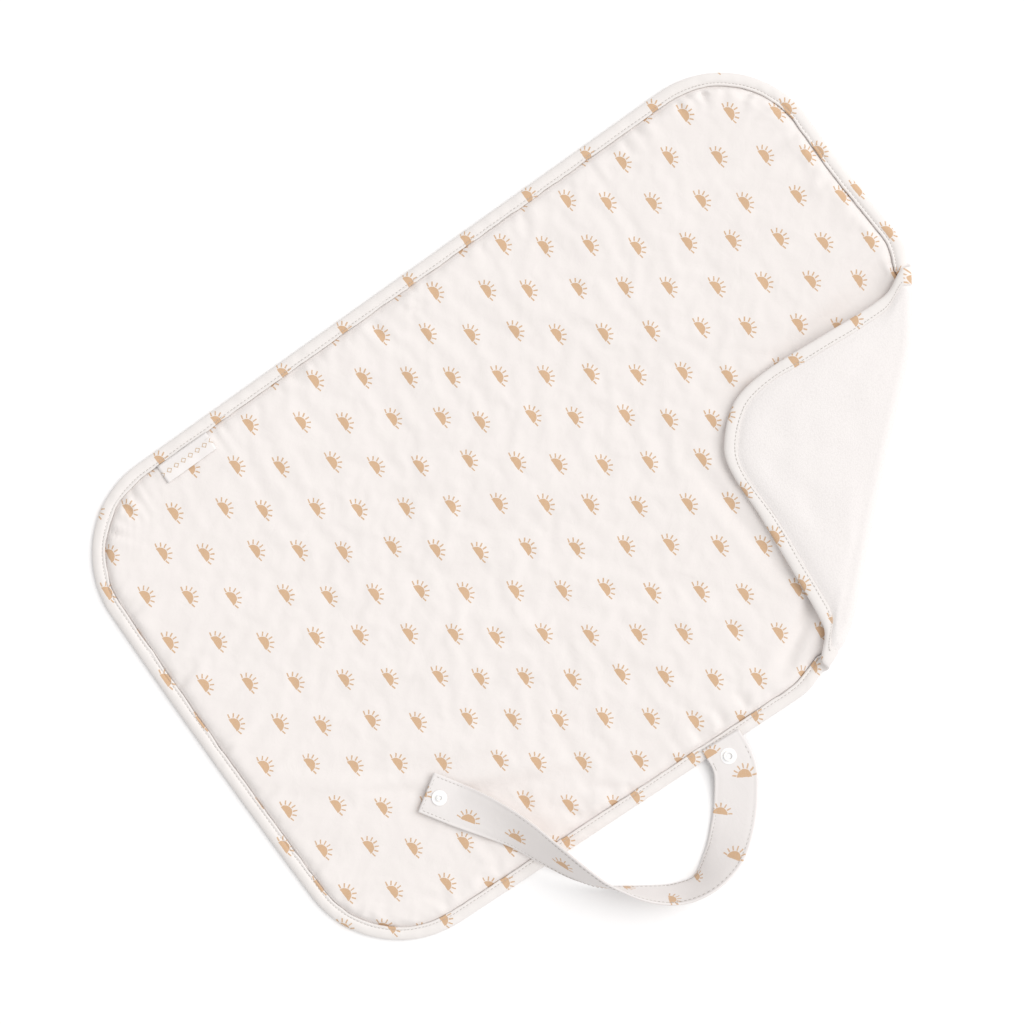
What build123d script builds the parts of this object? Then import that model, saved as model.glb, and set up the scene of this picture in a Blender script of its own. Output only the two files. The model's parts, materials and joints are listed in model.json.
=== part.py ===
from build123d import *
import os
from math import cos, hypot, radians, sin

# A portable changing pad: a printed, padded mat with a terry reverse, bound round
# its edge, with one corner folded over and a carrying strap that closes with a snap.
# Origin: underside of the mat, at its centre. +X runs along the long side, +Z up.
# Millimetres.

# The mat
mat_length = 600.0
mat_width = 400.0
corner_radius = 75.0
mat_thickness = 8.0  # over the padded field
terry_cloth = 2.2  # loops included
liner_film = 0.3
cover_cloth = 0.6
binding_cloth = 0.8
binding_width = 9.5
bevel_run = 9.0  # from the seam to the full thickness
bevel_cloth = 1.8  # of the sloping rim, measured level
stitch_inset = 8.0
thread = 0.4
air = 0.2  # between layers whose curved edges would touch

# The corner that is folded over onto the mat
fold_offset = 207.0  # from the origin to the fold line, square to it
fold_angle = -47.5  # of that direction, seen from above
fold_gap = 0.3  # either side of the fold line and of the mat's top

# The strap: each station is x, y, height of the lower edge, and the band's roll in
# degrees, from lying with its snap face up (0) through on edge (90) to turned over
strap_width = 30.0
strap_cloth = 1.6
interlining_cloth = 0.5
interlining_margin = 2.0
strap_hem = 1.5
strap_stitch_margin = 2.0
strap_gap = 1.0  # either side of the swing axis, so the ends clear each other
strap_start = [(-3.5, -190.7, 4.3, 0), (-7, -216, 4.3, 0), (-17, -232, 1.4, 6),
               (-31, -248, 0.4, 28), (-50, -262, 0.3, 62)]
strap_swing = (-73, -268, 0.3, 90)
strap_end = [(-91, -263, 0.3, 99), (-108, -251, 0.8, 105), (-120, -239, 2.6, 109),
             (-130, -227, 5.4, 112), (-137, -213, 8.4, 117), (-147, -188, 8.5, 130),
             (-155, -166, 8.5, 143), (-168, -142, 8.7, 163), (-180.5, -123.2, 9.6, 180),
             (-192.5, -104.3, 9.6, 180)]

# The snap fastener, a size 20 plastic press stud
cap_radius = 6.2
cap_height = 1.0
prong_radius = 0.9
prong_hole = 1.0
prong_head_radius = 1.5
prong_head = 0.4
socket_radius = 5.7
socket_ring = (2.4, 3.5)  # inner and outer radius
stud_radius = 5.45
stud_post = (1.6, 2.3)
snap_floor = 0.9
snap_rise = 2.4
snap_round = 0.3
cap_round = 0.5
socket_along = 16.5  # from the seam to the socket's centre
stud_from_tip = 10.3

# The folded woven label, caught in the seam of the far long edge
label_left = -214.0
label_right = -172.0
label_reach = 14.0
label_cloth = 0.9
label_air = 0.1

overshoot = 1.0  # of a cutting shape past what it cuts

# Heights of the layers in the margin, where all of them meet under the binding
liner_top = terry_cloth + liner_film
flange_top = liner_top + cover_cloth
margin_top = flange_top + binding_cloth
flange_inset = binding_cloth + air
field_inset = binding_width + air
fold_height = mat_thickness + fold_gap


def slab(inset, bottom, top):
    """The mat's outline, moved in by inset, from bottom to top."""
    sheet = RectangleRounded(mat_length - 2 * inset, mat_width - 2 * inset, corner_radius - inset)
    return Pos(0, 0, bottom) * extrude(sheet, top - bottom)


def mound(inset, bottom, top):
    """A slab whose edge slopes in as it rises."""
    ends = []
    for height, margin in ((bottom, inset), (top, inset + bevel_run)):
        sheet = RectangleRounded(mat_length - 2 * margin, mat_width - 2 * margin, corner_radius - margin)
        ends.append(Pos(0, 0, height) * sheet)
    return loft(ends, ruled=True)


def mat_layers():
    """Every layer of the mat, whole, as if its corner weren't folded."""
    cavity = mound(field_inset + bevel_cloth, liner_top, mat_thickness - cover_cloth)
    shell = slab(flange_inset, liner_top, flange_top) + mound(field_inset, liner_top, mat_thickness)
    terry = slab(field_inset, 0, terry_cloth) + slab(flange_inset, binding_cloth, terry_cloth)
    channel = slab(binding_cloth, binding_cloth, flange_top)
    window = slab(binding_width, -overshoot, margin_top + overshoot)
    row_outside = slab(stitch_inset - thread, margin_top, margin_top + thread / 2)
    row_inside = slab(stitch_inset + thread, margin_top - overshoot, margin_top + overshoot)
    return {
        "printed_cover": shell - cavity,
        "wadding": mound(field_inset + bevel_cloth + air, liner_top, mat_thickness - cover_cloth),
        "waterproof_liner": slab(flange_inset, terry_cloth, liner_top),
        "terry_backing": terry,
        "edge_binding": slab(0, 0, margin_top) - channel - window,
        "binding_stitching": row_outside - row_inside,
    }


def beyond_fold(start):
    """All the space past the fold line, from start along the square to it."""
    reach = 400.0
    block = Box(reach, 3 * reach, reach)
    return Rot(0, 0, fold_angle) * Pos(start + reach / 2, 0, 0) * block


def fold_corner(layer):
    """The corner of a layer, turned over onto the mat about the fold line."""
    corner = layer & beyond_fold(fold_offset + fold_gap)
    side = radians(fold_angle)
    on_line = (fold_offset * cos(side), fold_offset * sin(side), fold_height)
    return corner.rotate(Axis(on_line, (-sin(side), cos(side), 0)), 180)


def woven_label():
    """A folded tag that comes out of the seam and bends over the mat's rim."""
    seam = mat_width / 2 - binding_width - air
    rim = mat_width / 2 - field_inset - bevel_run
    lift = fold_gap + label_air
    hem = seam - label_reach
    under = [(seam, margin_top + label_air), (rim, mat_thickness + lift), (hem, mat_thickness + lift)]
    over = [(y, z + label_cloth) for y, z in reversed(under)]
    profile = Plane.YZ * make_face(Polyline(*under, *over, close=True))
    return Pos(label_left, 0, 0) * extrude(profile, label_right - label_left)


def headings(stations):
    """The level direction of travel at each station."""
    found = []
    for place in range(len(stations)):
        before = stations[max(place - 1, 0)]
        after = stations[min(place + 1, len(stations) - 1)]
        run = hypot(after[0] - before[0], after[1] - before[1])
        found.append(((after[0] - before[0]) / run, (after[1] - before[1]) / run))
    return found


def band_plane(station, heading, along=0.0):
    """Plane across the band: x over its width, y out of its snap face."""
    x, y, low, roll = station
    turn = radians(roll)
    middle = low + strap_width / 2 * sin(turn) + strap_cloth / 2 * abs(cos(turn))
    origin = (x + heading[0] * along, y + heading[1] * along, middle)
    across = (-heading[1] * cos(turn), heading[0] * cos(turn), sin(turn))
    return Plane(origin, x_dir=across, z_dir=(heading[0], heading[1], 0))


def band(planes, wide, thick, across=0.0, up=0.0):
    """A strip lofted through the planes, off centre by across and up."""
    return loft([plane * Pos(across, up) * Rectangle(wide, thick) for plane in planes], ruled=True)


def strap_piece(planes, closed_start, closed_end):
    """The cloth tube, the interlining inside it and the rows of edge stitching."""
    inner = list(planes)
    if closed_start:
        inner[0] = planes[0].offset(strap_hem)
    if closed_end:
        inner[-1] = planes[-1].offset(-strap_hem)
    interlining = band(inner, strap_width - 2 * interlining_margin, interlining_cloth)
    tube = band(planes, strap_width, strap_cloth) - interlining
    side = strap_width / 2 - strap_stitch_margin
    face = strap_cloth / 2 + thread / 4
    rows = [band(inner, thread, thread / 2, across, up)
            for across in (-side, side) for up in (-face, face)]
    return tube, interlining, Compound(children=rows)


def snap(face, radius, ring):
    """A snap half on top of the band and the cap that rivets it from below."""
    floor = Pos(0, 0, snap_floor / 2) * Cylinder(radius, snap_floor)
    wall = Pos(0, 0, snap_rise / 2) * (Cylinder(ring[1], snap_rise) - Cylinder(ring[0], snap_rise))
    half = floor + wall - Cylinder(prong_hole, 2 * (snap_rise + overshoot))
    half = fillet(half.edges().group_by(Axis.Z)[-1], snap_round)
    cap = Pos(0, 0, -strap_cloth - cap_height / 2) * Cylinder(cap_radius, cap_height)
    cap = fillet(cap.edges().group_by(Axis.Z)[0], cap_round)
    shank = strap_cloth + snap_floor
    prong = Pos(0, 0, snap_floor - shank / 2) * Cylinder(prong_radius, shank)
    head = Pos(0, 0, snap_floor + prong_head / 2) * Cylinder(prong_head_radius, prong_head)
    return face * half, face * (cap + prong + head)


def strap():
    """Both lengths of the strap, split at the swing axis, with the snap's halves."""
    stations = strap_start + [strap_swing] + strap_end
    ways = headings(stations)
    middle = len(strap_start)
    planes = [band_plane(station, way) for station, way in zip(stations, ways)]
    fixed = planes[:middle] + [band_plane(strap_swing, ways[middle], -strap_gap)]
    free = [band_plane(strap_swing, ways[middle], strap_gap)] + planes[middle + 1:]
    base_face = band_plane(stations[0], ways[0], socket_along).origin + Vector(0, 0, strap_cloth / 2)
    tip_face = band_plane(stations[-1], ways[-1], -stud_from_tip).origin + Vector(0, 0, strap_cloth / 2)
    parts = {}
    ends = (("strap_base", fixed, base_face, True, False), ("strap_arm", free, tip_face, False, True))
    for name, cuts, face, closed_start, closed_end in ends:
        tube, interlining, rows = strap_piece(cuts, closed_start, closed_end)
        hole = Pos(face) * Cylinder(prong_hole, 2 * (strap_cloth + overshoot))
        parts[name] = tube - hole
        parts[name + "_interlining"] = interlining - hole
        parts[name + "_stitching"] = rows
    parts["snap_socket"], parts["snap_socket_cap"] = snap(Pos(base_face), socket_radius, socket_ring)
    parts["snap_stud"], parts["snap_stud_cap"] = snap(Pos(tip_face), stud_radius, stud_post)
    return parts


nodes = {}
for name, layer in mat_layers().items():
    nodes[name] = layer - beyond_fold(fold_offset - fold_gap)
    nodes["corner_" + name] = fold_corner(layer)
nodes["woven_label"] = woven_label()
nodes.update(strap())

for name, shape in nodes.items():
    export_step(shape, f"parts/{name}.step")
    box = shape.bounding_box()
    print(f"{name:28s} {shape.volume:10.0f} mm3  z {box.min.Z:6.2f} to {box.max.Z:6.2f}")
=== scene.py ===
import bmesh
import bpy
import json
import math
import numpy as np
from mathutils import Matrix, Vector


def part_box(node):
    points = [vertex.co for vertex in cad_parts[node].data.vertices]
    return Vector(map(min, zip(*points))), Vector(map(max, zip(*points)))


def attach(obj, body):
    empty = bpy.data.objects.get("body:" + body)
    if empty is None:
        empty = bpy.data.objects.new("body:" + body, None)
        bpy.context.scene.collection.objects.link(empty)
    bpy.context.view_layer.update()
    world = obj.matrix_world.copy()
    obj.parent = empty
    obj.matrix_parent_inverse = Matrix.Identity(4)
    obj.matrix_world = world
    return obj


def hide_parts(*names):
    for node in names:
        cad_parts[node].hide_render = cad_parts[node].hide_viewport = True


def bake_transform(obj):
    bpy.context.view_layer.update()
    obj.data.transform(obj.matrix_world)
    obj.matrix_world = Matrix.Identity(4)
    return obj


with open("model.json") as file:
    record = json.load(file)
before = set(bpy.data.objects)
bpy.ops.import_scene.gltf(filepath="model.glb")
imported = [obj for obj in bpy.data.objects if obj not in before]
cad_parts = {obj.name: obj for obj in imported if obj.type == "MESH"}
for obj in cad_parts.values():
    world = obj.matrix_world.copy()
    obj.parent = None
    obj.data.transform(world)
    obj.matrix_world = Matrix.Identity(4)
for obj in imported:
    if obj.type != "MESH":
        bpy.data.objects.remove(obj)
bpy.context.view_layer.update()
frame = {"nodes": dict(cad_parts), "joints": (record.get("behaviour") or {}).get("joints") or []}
mm = 0.001

# What shapes the mat. Sizes that the frame holds are read from it below.
mat = {
    "cornerRadius": 75 * mm,
    "bindingWidth": 9.5 * mm,
    "bindingTop": 4.7 * mm,  # nothing in the margin stands higher
    "seamHeight": 2.35 * mm,  # of the cover, where the binding's lip holds it down
    "fieldHeight": 7.0 * mm,
    "bevel": 17 * mm,  # from the seam to the full loft
    "crest": 8.05 * mm,  # no wrinkle stands higher
    "flapFloor": 8.4 * mm,  # the turned corner's printed face lies at this height
    "foldRoom": 2.6 * mm,  # cloth either side of the fold line that goes round the bend
    "foldSqueeze": 0.16,  # how far the loft is pressed down at the fold
    "foldSwell": 0.35,  # and how far the stiff binding stands up there
    "swellEdge": (8 * mm, 22 * mm),  # inset, from the binding's full swell to none
    "foldReach": 15 * mm,
    "flapMiddle": 81.4 * mm,  # of the turned corner, along the fold line
    "flapDraw": (3.0 * mm, 7.0 * mm, 11.0 * mm),  # how far its tip and either side are drawn in
    "drawSides": (15 * mm, 55 * mm),  # from its middle, where the sides' share sets in
    "drawOver": 30 * mm,  # from the fold, until it is drawn in fully
    "flapLift": 2.5 * mm,  # its far side stands off the mat a little
    "liftAt": 75 * mm,  # from its middle
    "liftWidth": 45 * mm,
    "liftOver": (20 * mm, 70 * mm),  # from the fold
    # each end of the fold: its tip, the way it points in degrees, how fast the outline falls
    # away to its left and right, and how much is rounded off
    "foldEnds": [(305 * mm, -9.9 * mm, -33.2, 0.654, 0.256, 12.6 * mm),
                 (92.5 * mm, -204.9 * mm, -67.0, 0.355, 0.466, 10.6 * mm)],
    "endRound": 1.6 * mm,
    "endDepth": 26 * mm,
}
bindingLow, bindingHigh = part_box("edge_binding")
halfLong = max(-bindingLow.x, bindingHigh.x)
halfWide = max(-bindingLow.y, bindingHigh.y)
foldJoint = next(j for j in frame["joints"] if j["name"] == "corner_fold")
foldAxis = Vector(foldJoint["axis"]).normalized()
acrossFold = np.array([foldAxis.y, -foldAxis.x])  # points from the mat to the corner
foldAt = float(np.dot(acrossFold, foldJoint["pos_m"][:2]))


def smooth(value, low, high):
    t = np.clip((value - low) / (high - low), 0, 1)
    return t * t * (3 - 2 * t)


def softNoise(x, y, size, seed, heading=0.0, stretch=1.0):
    # waves about size long in all directions, drawn out along heading by stretch
    rng = np.random.default_rng(seed)
    along = (x * math.cos(heading) + y * math.sin(heading)) / stretch
    across = -x * math.sin(heading) + y * math.cos(heading)
    total = np.zeros(np.shape(x))
    waves = 22
    for turn, phase, scale in rng.random((waves, 3)):
        pitch = 2 * math.pi / (size * (0.65 + 0.9 * scale))
        way = 2 * math.pi * turn
        total += np.cos(pitch * (along * math.cos(way) + across * math.sin(way)) + 2 * math.pi * phase)
    return total / math.sqrt(waves / 2)


def insetOf(x, y):
    # distance in from the mat's outline
    r = mat["cornerRadius"]
    dx = np.abs(x) - (halfLong - r)
    dy = np.abs(y) - (halfWide - r)
    corner = np.hypot(np.maximum(dx, 0), np.maximum(dy, 0))
    return r - corner - np.minimum(np.maximum(dx, dy), 0)


def pastFold(x, y):
    return x * acrossFold[0] + y * acrossFold[1] - foldAt


def nominalTop(x, y):
    # the mat's smooth upper limit with nothing folded
    rise = np.clip((insetOf(x, y) - mat["bindingWidth"]) / mat["bevel"], 0, 1)
    return mat["bindingTop"] + (mat["fieldHeight"] - mat["bindingTop"]) * (1 - (1 - rise) ** 2)


def foldMat(points):
    # takes points of the flat mat to where they lie with the corner turned over
    x, y, z = points.T.copy()
    past = pastFold(x, y)
    room = mat["foldRoom"]
    bound = 1 - smooth(insetOf(x, y), *mat["swellEdge"])
    change = mat["foldSwell"] * bound - mat["foldSqueeze"] * (1 - bound)
    squeeze = 1 + change * np.exp(-(past / mat["foldReach"]) ** 2)
    top = nominalTop(x, y) * squeeze
    z = np.minimum(z * squeeze, np.where(past > -room, top, mat["crest"]))
    centre = (top + mat["flapFloor"]) / 2
    radius = centre - z
    turn = np.clip((past + room) / (2 * room), 0, 1) * math.pi
    across = np.where(past <= -room, past, np.where(past >= room, -past, -room + radius * np.sin(turn)))
    height = np.where(past <= -room, z, centre - radius * np.cos(turn))
    tip, far, near = mat["flapDraw"]
    side = x * foldAxis.x + y * foldAxis.y - mat["flapMiddle"]
    draw = tip + np.where(side > 0, far, near) * smooth(np.abs(side), *mat["drawSides"])
    across += draw * smooth(past, 0, mat["drawOver"])
    lift = mat["flapLift"] * np.exp(-((side - mat["liftAt"]) / mat["liftWidth"]) ** 2)
    height += lift * smooth(past, *mat["liftOver"])
    x += (across - past) * acrossFold[0]
    y += (across - past) * acrossFold[1]
    return np.stack([x, y, height], -1)


# The sewn outline isn't quite true.
outlineEase = {
    "lean": -0.036,  # slope of the long side with the strap
    "leanPivot": -43 * mm,
    "leanLimits": (-5 * mm, 7 * mm),
    "leanAcross": (-60 * mm, 200 * mm),  # sets in towards that side
    "leanEnd": (250 * mm, 160 * mm),  # where it ends, and the length it fades over
    "bulge": 5 * mm,  # of the short side with the turned corner
    "bulgeAlong": (130 * mm, 300 * mm),
    "bulgeEnd": (95 * mm, 110 * mm),
    "bow": 2.5 * mm,  # of the other short side
    "bowAlong": (180 * mm, 300 * mm),
    "bowHalf": 170 * mm,
}


def easeOutline(points):
    # the sides lean and bow by a few millimetres
    x, y, z = points.T.copy()
    lean = np.clip(outlineEase["lean"] * (x - outlineEase["leanPivot"]), *outlineEase["leanLimits"])
    end, fade = outlineEase["leanEnd"]
    y += lean * smooth(-y, *outlineEase["leanAcross"]) * smooth(end - x, 0, fade)
    end, fade = outlineEase["bulgeEnd"]
    x += outlineEase["bulge"] * smooth(x, *outlineEase["bulgeAlong"]) * smooth(end - y, 0, fade)
    bow = 1 - np.clip(np.abs(y) / outlineEase["bowHalf"], 0, 1) ** 2
    x -= outlineEase["bow"] * smooth(-x, *outlineEase["bowAlong"]) * bow
    # the bound edge is too stiff to crease, so it rounds off both ends of the fold
    for endX, endY, heading, fallLeft, fallRight, cut in mat["foldEnds"]:
        out = np.array([math.cos(math.radians(heading)), math.sin(math.radians(heading))])
        reach = (x - endX) * out[0] + (y - endY) * out[1]
        side = (y - endY) * out[0] - (x - endX) * out[1]
        edge = -np.where(side > 0, fallLeft, fallRight) * np.abs(side)
        pull = mat["endRound"] * np.logaddexp(0, (edge + cut) / mat["endRound"])
        pull *= np.exp(-(np.maximum(edge - reach, 0) / mat["endDepth"]) ** 2)
        x -= pull * out[0]
        y -= pull * out[1]
    return np.stack([x, y, z], -1)


def runAt(x, y):
    # the distance round the outline to the point nearest to x, y, bent into a circle so that it closes
    r = mat["cornerRadius"]
    a, b = halfLong - r, halfWide - r
    dx, dy = np.abs(x) - a, np.abs(y) - b
    turn = np.arctan2(np.maximum(dy, 0), np.maximum(dx, 1e-9))
    inside = (dx <= 0) & (dy <= 0)
    turn = np.where(inside, np.where(dx > dy, 0, math.pi / 2), turn)
    quarter = b + r * math.pi / 2 + a
    run = np.minimum(np.abs(y), b) * (turn < 1.57) + (turn >= 1.57) * b + r * turn
    run = run + np.where(turn >= 1.57, a - np.minimum(np.abs(x), a), 0)
    run = np.where(x * y < 0, -run, run) + np.where(x < 0, 2 * quarter, 0)
    circle = run * math.pi / (2 * quarter)
    radius = 2 * quarter / math.pi
    return radius * np.cos(circle), radius * np.sin(circle)


def makeMesh(name, points, faces, uvs=None):
    mesh = bpy.data.meshes.new(name)
    faces = faces if isinstance(faces, list) else faces.tolist()
    mesh.from_pydata(np.reshape(points, (-1, 3)).tolist(), [], faces)
    if uvs is not None:
        corners = np.zeros(len(mesh.loops), np.int32)
        mesh.loops.foreach_get("vertex_index", corners)
        layer = mesh.uv_layers.new(name="cloth")
        layer.data.foreach_set("uv", np.reshape(uvs, (-1, 2))[corners].astype(np.float32).ravel())
    mesh.polygons.foreach_set("use_smooth", [True] * len(mesh.polygons))
    piece = bpy.data.objects.new(name, mesh)
    bpy.context.scene.collection.objects.link(piece)
    return piece


def cutAtFold(piece, cuts=10):
    # edges along the bend, so that it turns in a curve
    bm = bmesh.new()
    bm.from_mesh(piece.data)
    room = mat["foldRoom"]
    normal = Vector((acrossFold[0], acrossFold[1], 0))
    for past in np.linspace(-room, room, cuts + 1):
        near = [f for f in bm.faces if abs(pastFold(*f.calc_center_median().xy) - past) < 16 * mm]
        geometry = list({e for f in near for e in f.edges} | {v for f in near for v in f.verts}) + near
        bmesh.ops.bisect_plane(bm, geom=geometry, dist=1e-7,
                               plane_co=normal * (foldAt + past), plane_no=normal)
    bm.to_mesh(piece.data)
    bm.free()


def layOut(piece):
    # from the flat mat to how it lies
    count = len(piece.data.vertices)
    points = np.zeros(count * 3, np.float32)
    piece.data.vertices.foreach_get("co", points)
    placed = easeOutline(foldMat(points.reshape(-1, 3).astype(float)))
    piece.data.vertices.foreach_set("co", placed.astype(np.float32).ravel())
    piece.data.update()


def roundedGrid(inset, spacing):
    # rows of points that fill the outline, bent to its round corners
    a, b, r = halfLong - inset, halfWide - inset, mat["cornerRadius"] - inset
    xs = np.linspace(-a, a, round(2 * a / spacing) + 1)
    ys = np.linspace(-b, b, round(2 * b / spacing) + 1)
    x, y = np.meshgrid(xs, ys, indexing="ij")
    p = np.clip((np.abs(x) - (a - r)) / r, 0, 1)
    q = np.clip((np.abs(y) - (b - r)) / r, 0, 1)
    corner = (p > 0) & (q > 0)
    bentX = np.where(corner, np.sign(x) * (a - r + r * p * np.sqrt(1 - q * q / 2)), x)
    bentY = np.where(corner, np.sign(y) * (b - r + r * q * np.sqrt(1 - p * p / 2)), y)
    return bentX, bentY


def refine(grid):
    # twice the points each way, on a curve through the old ones
    for axis in (0, 1):
        rows = np.moveaxis(grid, axis, 0)
        before = np.concatenate([2 * rows[:1] - rows[1:2], rows[:-2]])
        after = np.concatenate([rows[2:], 2 * rows[-1:] - rows[-2:-1]])
        middle = (9 * (rows[:-1] + rows[1:]) - before - after) / 16
        finer = np.empty((2 * len(rows) - 1,) + rows.shape[1:])
        finer[0::2], finer[1::2] = rows, middle
        grid = np.moveaxis(finer, 0, axis)
    return grid


def gridFaces(rows, columns, first=0):
    index = np.arange(rows * columns).reshape(rows, columns) + first
    return np.stack([index[:-1, :-1], index[1:, :-1], index[1:, 1:], index[:-1, 1:]], -1).reshape(-1, 4)


def closedSlab(name, upper, lower, uv):
    # two grids of one size, joined round their rims
    rows, columns = upper.shape[:2]
    count = rows * columns
    index = np.arange(count).reshape(rows, columns)
    rim = np.concatenate([index[:, 0], index[-1, 1:], index[-2::-1, -1], index[0, -2:0:-1]])
    following = np.roll(rim, -1)
    sides = np.stack([following, rim, rim + count, following + count], -1)
    faces = np.concatenate([gridFaces(rows, columns), gridFaces(rows, columns, count)[:, ::-1], sides])
    points = np.concatenate([upper.reshape(-1, 3), lower.reshape(-1, 3)])
    return makeMesh(name, points, faces, np.concatenate([uv.reshape(-1, 2)] * 2))


def linearColour(code):
    # an sRGB hex value as the linear colour that a shader takes
    values = [int(code[i:i + 2], 16) / 255 for i in (1, 3, 5)]
    return [v / 12.92 if v <= 0.04045 else ((v + 0.055) / 1.055) ** 2.4 for v in values] + [1.0]


def addNode(tree, kind, settings, inputs):
    # a node, its settings, and its inputs as values or as sockets to link
    node = tree.nodes.new("ShaderNode" + kind)
    for name, value in settings.items():
        setattr(node, name, value)
    for key, value in inputs.items():
        if isinstance(value, bpy.types.NodeSocket):
            tree.links.new(value, node.inputs[key])
        else:
            node.inputs[key].default_value = value
    return node


def newMaterial(name):
    material = bpy.data.materials.new(name)
    material.use_nodes = True
    material.node_tree.nodes.clear()
    return material, material.node_tree


def finishMaterial(tree, shader, **inputs):
    for name, value in inputs.items():
        socket = shader.inputs[name.replace("_", " ")]
        if isinstance(value, bpy.types.NodeSocket):
            tree.links.new(value, socket)
        else:
            socket.default_value = value
    addNode(tree, "OutputMaterial", {}, {"Surface": shader.outputs["BSDF"]})


def arithmetic(tree):
    # math nodes of this tree, written as calls
    def calc(operation, *values):
        return addNode(tree, "Math", {"operation": operation}, dict(enumerate(values))).outputs[0]

    return calc


def clothPoint(tree, offset=(0, 0)):
    # where a point lies on the flat cloth, in millimetres
    uv = addNode(tree, "UVMap", {"uv_map": "cloth"}, {})
    point = addNode(tree, "Mapping", {}, {"Vector": uv.outputs[0], "Scale": (1000, 1000, 1000),
                                          "Location": (*offset, 0)})
    return point.outputs[0]


def shade(tree, factor, pair):
    # between the two shades of a cloth
    first, second = map(linearColour, pair)
    return addNode(tree, "Mix", {"data_type": "RGBA"}, {"Factor": factor, 6: first, 7: second})


printed = {
    "ink": "#D0AB86",
    "rowPitch": 26.6,  # mm, from one row of suns to the next
    "columnPitch": 36.6,
    "drift": (7.0, 3.0),  # mm, how far the hand-placed suns stray
    "wobble": 0.7,  # mm, how far the hand-drawn edges stray
    "sunRadius": 5.2,
    "rayTurn": 26.5,  # degrees, from one ray to the next
    "rayInner": 5.6,
    "rayOuter": 8.7,
    "rayWidth": 0.98,
    "threadPitch": 0.75,  # mm; the real weave is 0.35, too fine to show
}
# The cloth's two shades, how far the print slides on it in millimetres, and how crumpled it is.
prints = {
    "cover": {"cloth": ("#EEE8E5", "#E9E3E0"), "offset": (-2.5, -11.0), "crinkle": 0.4},
    "binding": {"cloth": ("#EDE8E5", "#E8E3E0"), "offset": (14.0, 9.0), "crinkle": 0.3},
    # the strap's shades are a little darker than the cover's: painted shade on the strap
    "strap": {"cloth": ("#EAE5E3", "#E5E0DE"), "offset": (17.0, 29.5), "crinkle": 0.3},
}
# Two shades of each of the others; the label's are its ground and its figure.
colours = {
    # the terry's darker shade is painted shade between its loops
    "terry": ("#F1ECEA", "#E9E4E2"),
    # the thread's shades are darker than the thread itself: painted shade of its stitch holes
    "thread": ("#C9C4BF", "#B5AFA9"),
    "ribbon": ("#F0EBE9", "#CBAE8C"),
    "acetal": ("#FCFBFA", "#F8F6F5"),
}


def halfSunPrint(tree, cloth):
    # 1 on the ink of the half-sun print, 0 between; cloth is a point in millimetres
    calc = arithmetic(tree)
    wobble = addNode(tree, "TexNoise", {}, {"Vector": cloth, "Scale": 0.45, "Detail": 1.0})
    size = printed["wobble"]
    shift = addNode(tree, "VectorMath", {"operation": "MULTIPLY_ADD"},
                    {0: wobble.outputs["Color"], 1: (size, size, 0), 2: (-size / 2, -size / 2, 0)})
    drawn = addNode(tree, "VectorMath", {"operation": "ADD"}, {0: cloth, 1: shift.outputs[0]})
    split = addNode(tree, "SeparateXYZ", {}, {0: drawn.outputs[0]})
    row = calc("DIVIDE", split.outputs["X"], printed["rowPitch"])
    rowNumber = calc("FLOOR", row)
    stagger = calc("MULTIPLY", calc("FLOORED_MODULO", rowNumber, 2.0), 0.5)
    column = calc("ADD", calc("DIVIDE", split.outputs["Y"], printed["columnPitch"]), stagger)
    columnNumber = calc("FLOOR", column)
    cell = addNode(tree, "CombineXYZ", {}, {"X": rowNumber, "Y": columnNumber})
    stray = addNode(tree, "TexWhiteNoise", {"noise_dimensions": "2D"}, {"Vector": cell.outputs[0]})
    strays = addNode(tree, "SeparateColor", {}, {0: stray.outputs["Color"]})
    up = calc("MULTIPLY", calc("SUBTRACT", calc("FRACT", row), 0.5), printed["rowPitch"])
    up = calc("MULTIPLY_ADD", calc("SUBTRACT", strays.outputs[0], 0.5), printed["drift"][0], up)
    side = calc("MULTIPLY", calc("SUBTRACT", calc("FRACT", column), 0.5), printed["columnPitch"])
    side = calc("MULTIPLY_ADD", calc("SUBTRACT", strays.outputs[1], 0.5), printed["drift"][1], side)
    radius = calc("SQRT", calc("ADD", calc("MULTIPLY", up, up), calc("MULTIPLY", side, side)))
    angle = calc("ARCTAN2", side, up)
    disc = calc("MAXIMUM", calc("SUBTRACT", radius, printed["sunRadius"]), calc("MULTIPLY", up, -1.0))
    rayTurn = math.radians(printed["rayTurn"])
    nearest = calc("ROUND", calc("DIVIDE", angle, rayTurn))
    nearest = calc("MINIMUM", calc("MAXIMUM", nearest, -3.0), 3.0)
    off = calc("SUBTRACT", angle, calc("MULTIPLY", nearest, rayTurn))
    across = calc("ABSOLUTE", calc("MULTIPLY", radius, calc("SINE", off)))
    along = calc("MULTIPLY", radius, calc("COSINE", off))
    middle = (printed["rayInner"] + printed["rayOuter"]) / 2
    ends = calc("SUBTRACT", calc("ABSOLUTE", calc("SUBTRACT", along, middle)),
                (printed["rayOuter"] - printed["rayInner"]) / 2)
    ray = calc("MAXIMUM", calc("SUBTRACT", across, printed["rayWidth"] / 2), ends)
    shape = calc("MINIMUM", disc, ray)
    ink = addNode(tree, "MapRange", {"interpolation_type": "SMOOTHSTEP"},
                  {"Value": shape, "From Min": 0.16, "From Max": -0.16})
    return ink.outputs[0]


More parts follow.
